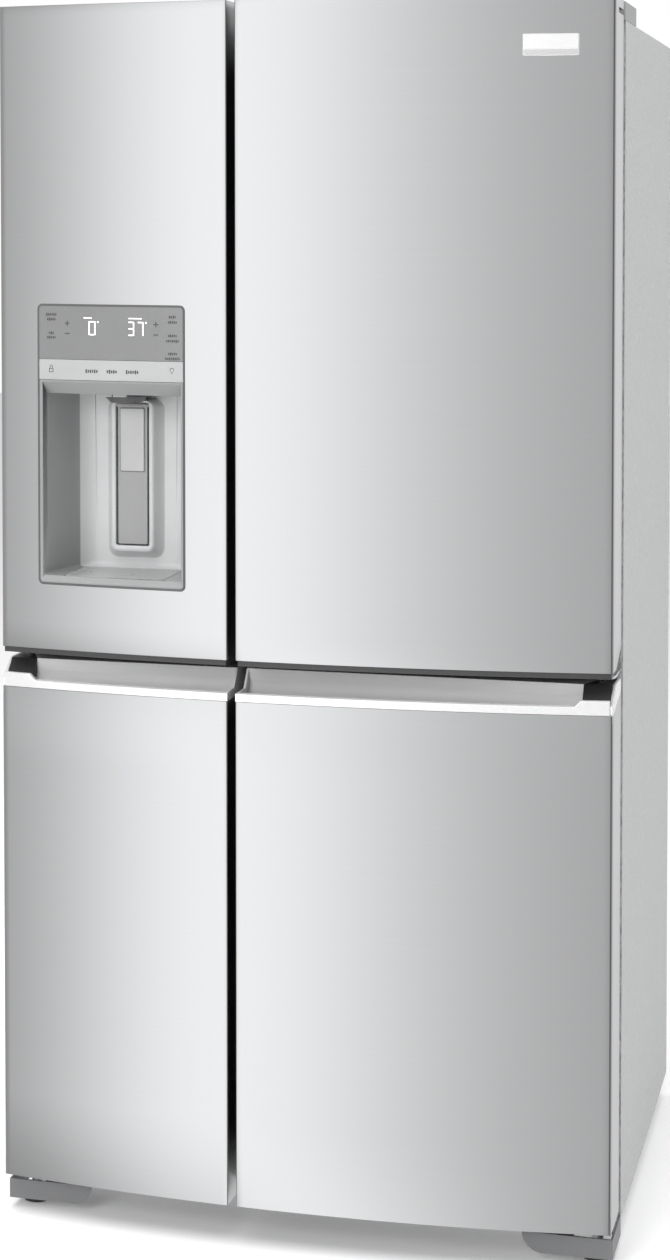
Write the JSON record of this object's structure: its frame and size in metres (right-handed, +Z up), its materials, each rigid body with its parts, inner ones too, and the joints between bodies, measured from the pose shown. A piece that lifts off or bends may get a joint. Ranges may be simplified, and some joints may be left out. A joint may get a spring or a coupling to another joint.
{
  "type": "refrigerator",
  "caption": "Side-by-side refrigerator with bowed steel doors above and below, a door dispenser, hand pockets, shelves, bins and drawers.",
  "frame": {"origin": "on the floor under the middle of the bounding box", "axes": "+Z up, the doors face -Y, +X to the right of someone facing the doors"},
  "size_m": [0.908, 0.754, 1.796],
  "materials": {
    "grey_paint": "satin",
    "dark_paint": "satin",
    "galvanised": "satin",
    "hinge_steel": "satin",
    "door_steel": "satin",
    "bright_trim": "polished",
    "grey_plastic": "satin",
    "black_plastic": "satin",
    "pocket_plastic": "satin",
    "dispenser_plastic": "satin",
    "display_glass": "gloss",
    "nozzle_plastic": "satin",
    "paddle_plastic": "satin",
    "tray_plastic": "satin",
    "foam": "matte",
    "liner_plastic": "satin",
    "white_plastic": "satin",
    "clear_plastic": "gloss",
    "light_lens": "satin",
    "shelf_glass": "gloss",
    "shelf_wire": "gloss",
    "coil_metal": "satin",
    "black_steel": "satin",
    "cover_plastic": "matte",
    "fan_plastic": "satin",
    "foot_rubber": "matte",
    "gasket_rubber": "matte"
  },
  "bodies": {
    "cabinet": {"cabinet_shell": "grey_paint", "rear_panel": "galvanised", "base_frame": "galvanised", "cabinet_foam": "foam", "freezer_liner": "liner_plastic", "fridge_liner": "liner_plastic", "mullion_covers": "dark_paint", "hinge_plates": "hinge_steel", "hinge_covers": "grey_plastic", "leg_covers": "black_plastic", "glass_shelves": "shelf_glass", "shelf_frames": "white_plastic", "freezer_shelves": "shelf_wire", "drawer_runners": "white_plastic", "air_duct": "white_plastic", "evaporator_cover": "white_plastic", "evaporator": "coil_metal", "fan_motors": "black_plastic", "compressor": "black_steel", "condenser": "black_steel", "machine_cover": "cover_plastic", "water_valve": "white_plastic", "power_inlet": "black_plastic", "ceiling_lights": "light_lens", "ice_maker": "white_plastic", "ice_bin": "white_plastic"},
    "evaporator_fan": {"evaporator_fan": "fan_plastic"},
    "condenser_fan": {"condenser_fan": "fan_plastic"},
    "upper_crisper": {"upper_crisper": "clear_plastic"},
    "lower_crisper": {"lower_crisper": "clear_plastic"},
    "upper_basket": {"upper_basket": "white_plastic"},
    "lower_basket": {"lower_basket": "white_plastic"},
    "left_foot": {"left_foot": "foot_rubber"},
    "right_foot": {"right_foot": "foot_rubber"},
    "rear_rollers": {"rear_rollers": "foot_rubber"},
    "freezer_door": {"freezer_door_skin": "door_steel", "freezer_door_caps": "black_plastic", "freezer_door_liner": "liner_plastic", "freezer_door_gasket": "gasket_rubber", "freezer_door_bins": "clear_plastic", "dispenser_housing": "dispenser_plastic", "display_panel": "display_glass", "dispenser_nozzle": "nozzle_plastic"},
    "dispenser_paddle": {"dispenser_paddle": "paddle_plastic"},
    "drip_tray": {"drip_tray": "tray_plastic"},
    "fridge_door": {"fridge_door_skin": "door_steel", "fridge_door_caps": "black_plastic", "fridge_door_liner": "liner_plastic", "fridge_door_gasket": "gasket_rubber", "fridge_door_bins": "clear_plastic"},
    "lower_freezer_door": {"lower_freezer_door_skin": "door_steel", "lower_freezer_door_caps": "pocket_plastic", "lower_freezer_door_liner": "liner_plastic", "lower_freezer_door_gasket": "gasket_rubber", "lower_freezer_door_trim": "bright_trim"},
    "lower_fridge_door": {"lower_fridge_door_skin": "door_steel", "lower_fridge_door_caps": "pocket_plastic", "lower_fridge_door_liner": "liner_plastic", "lower_fridge_door_gasket": "gasket_rubber", "lower_fridge_door_trim": "bright_trim"}
  },
  "joints": [
    {"name": "freezer_door_hinge", "type": "hinge", "parent": "cabinet", "child": "freezer_door", "pos_m": [-0.43, -0.284, 1.3], "axis": [0, 0, -1], "range_deg": [0, 120]},
    {"name": "fridge_door_hinge", "type": "hinge", "parent": "cabinet", "child": "fridge_door", "pos_m": [0.43, -0.284, 1.3], "axis": [0, 0, 1], "range_deg": [0, 120]},
    {"name": "lower_freezer_door_hinge", "type": "hinge", "parent": "cabinet", "child": "lower_freezer_door", "pos_m": [-0.43, -0.284, 0.45], "axis": [0, 0, -1], "range_deg": [0, 120]},
    {"name": "lower_fridge_door_hinge", "type": "hinge", "parent": "cabinet", "child": "lower_fridge_door", "pos_m": [0.43, -0.284, 0.45], "axis": [0, 0, 1], "range_deg": [0, 120]},
    {"name": "upper_crisper_slide", "type": "slide", "parent": "cabinet", "child": "upper_crisper", "axis": [0, -1, 0], "range_m": [0, 0.09]},
    {"name": "lower_crisper_slide", "type": "slide", "parent": "cabinet", "child": "lower_crisper", "axis": [0, -1, 0], "range_m": [0, 0.09]},
    {"name": "upper_basket_slide", "type": "slide", "parent": "cabinet", "child": "upper_basket", "axis": [0, -1, 0], "range_m": [0, 0.09]},
    {"name": "lower_basket_slide", "type": "slide", "parent": "cabinet", "child": "lower_basket", "axis": [0, -1, 0], "range_m": [0, 0.09]},
    {"name": "paddle_hinge", "type": "hinge", "parent": "freezer_door", "child": "dispenser_paddle", "pos_m": [-0.2765, -0.2618, 1.207], "axis": [1, 0, 0], "range_deg": [0, 3.4], "stiffness_Nm_per_rad": 0.6, "springref_deg": -1.15},
    {"name": "drip_tray_lift", "type": "slide", "parent": "freezer_door", "child": "drip_tray", "axis": [0, 0, 1], "range_m": [0, 0.035]},
    {"name": "evaporator_fan_spin", "type": "hinge", "parent": "cabinet", "child": "evaporator_fan", "pos_m": [-0.262, 0.2725, 1.3075], "axis": [0, -1, 0], "continuous": true},
    {"name": "condenser_fan_spin", "type": "hinge", "parent": "cabinet", "child": "condenser_fan", "pos_m": [-0.076, 0.279, 0.149], "axis": [1, 0, 0], "continuous": true},
    {"name": "left_foot_turn", "type": "hinge", "parent": "cabinet", "child": "left_foot", "pos_m": [-0.426, -0.28, 0.02], "axis": [0, 0, 1], "continuous": true},
    {"name": "right_foot_turn", "type": "hinge", "parent": "cabinet", "child": "right_foot", "pos_m": [0.426, -0.28, 0.02], "axis": [0, 0, 1], "continuous": true},
    {"name": "rear_roller_spin", "type": "hinge", "parent": "cabinet", "child": "rear_rollers", "pos_m": [0, 0.33, 0.017], "axis": [1, 0, 0], "continuous": true}
  ]
}
